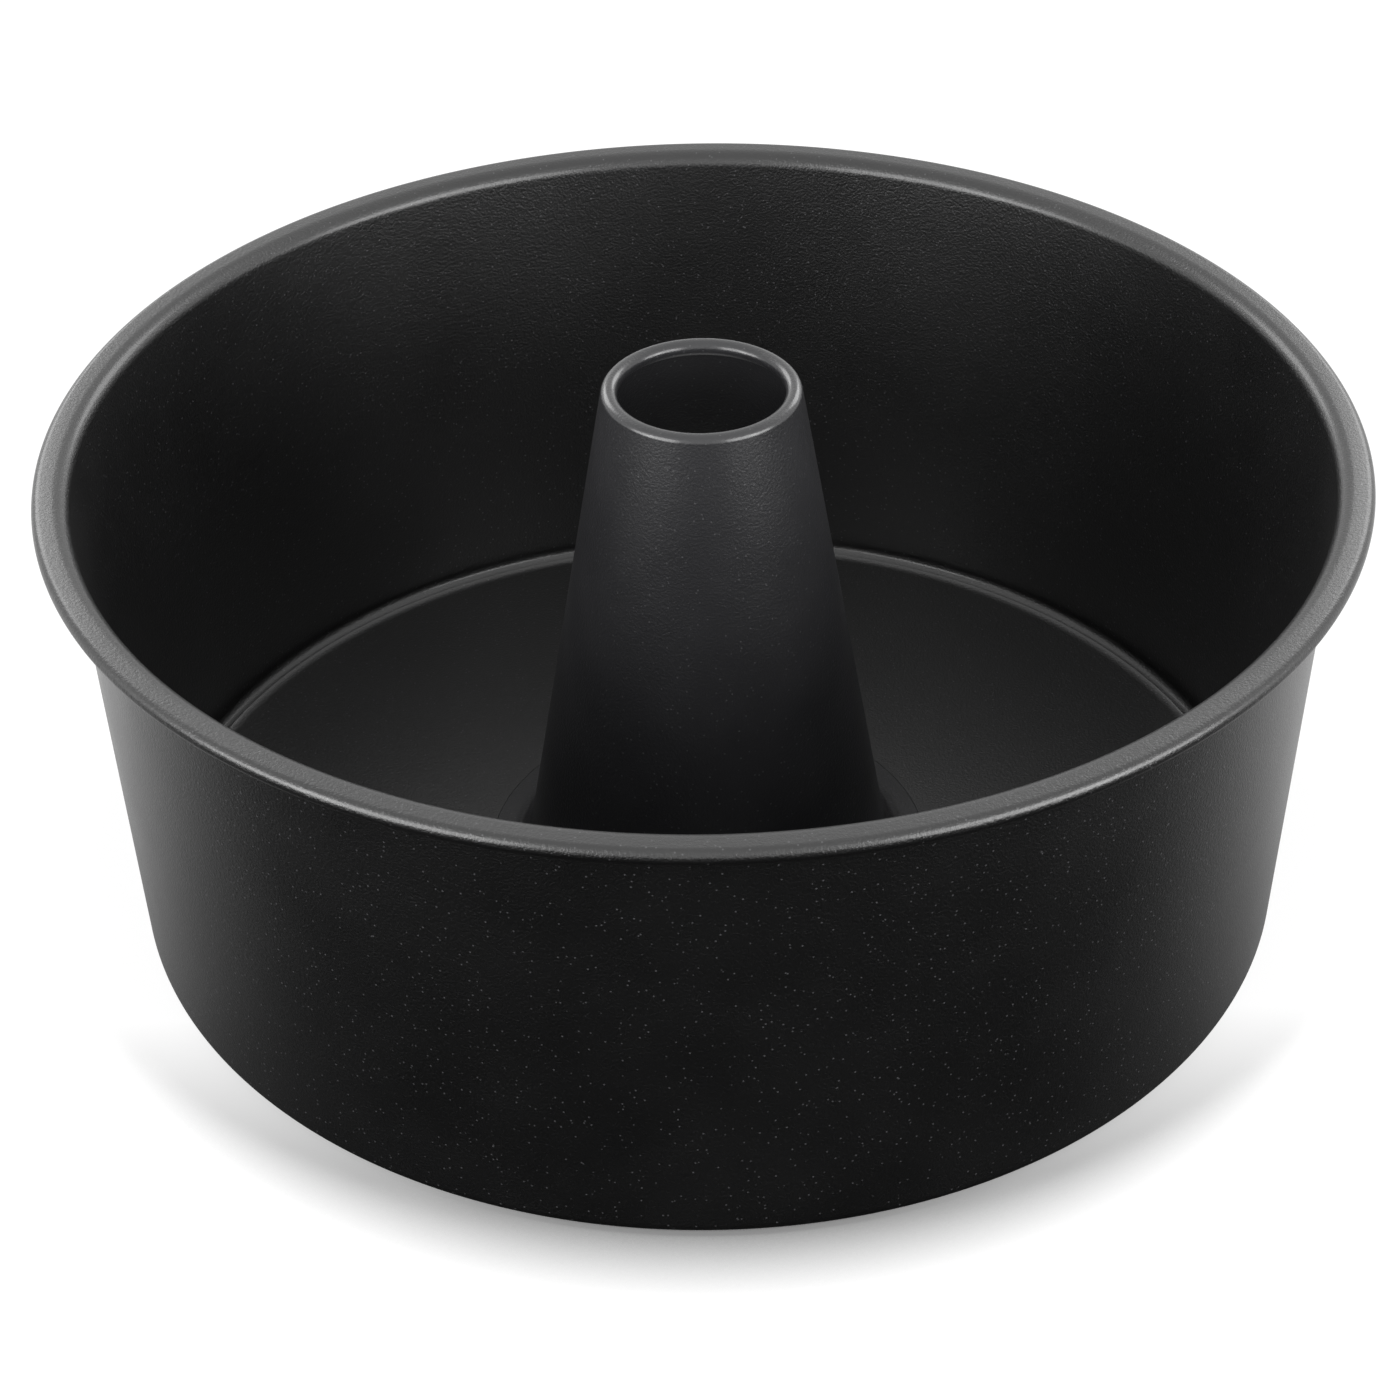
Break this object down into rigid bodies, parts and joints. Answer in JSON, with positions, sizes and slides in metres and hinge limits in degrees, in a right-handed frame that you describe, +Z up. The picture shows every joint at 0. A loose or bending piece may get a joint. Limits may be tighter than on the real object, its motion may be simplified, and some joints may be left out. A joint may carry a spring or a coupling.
{
  "type": "angel food cake pan",
  "caption": "Round, deep cake pan with a tapered wall, a rolled rim, and a lift-out floor with a hollow centre tube that stands above the rim.",
  "frame": {"origin": "middle of the foot, on the surface that the pan stands on", "axes": "+Z up along the centre tube; X and Y are alike, because the pan is round"},
  "size_m": [0.2672, 0.2672, 0.116],
  "materials": {
    "coating": "satin dark grey nonstick coating on sheet steel",
    "wire": "plain drawn wire, shut inside the rolled rim"
  },
  "bodies": {
    "ring": {"side_ring": "coating", "rim_wire": "wire"},
    "insert": {"base_plate": "coating", "center_tube": "coating"}
  },
  "joints": [
    {"name": "floor_lift", "type": "slide", "parent": "ring", "child": "insert", "axis": [0, 0, 1], "range_m": [0, 0.12]}
  ]
}
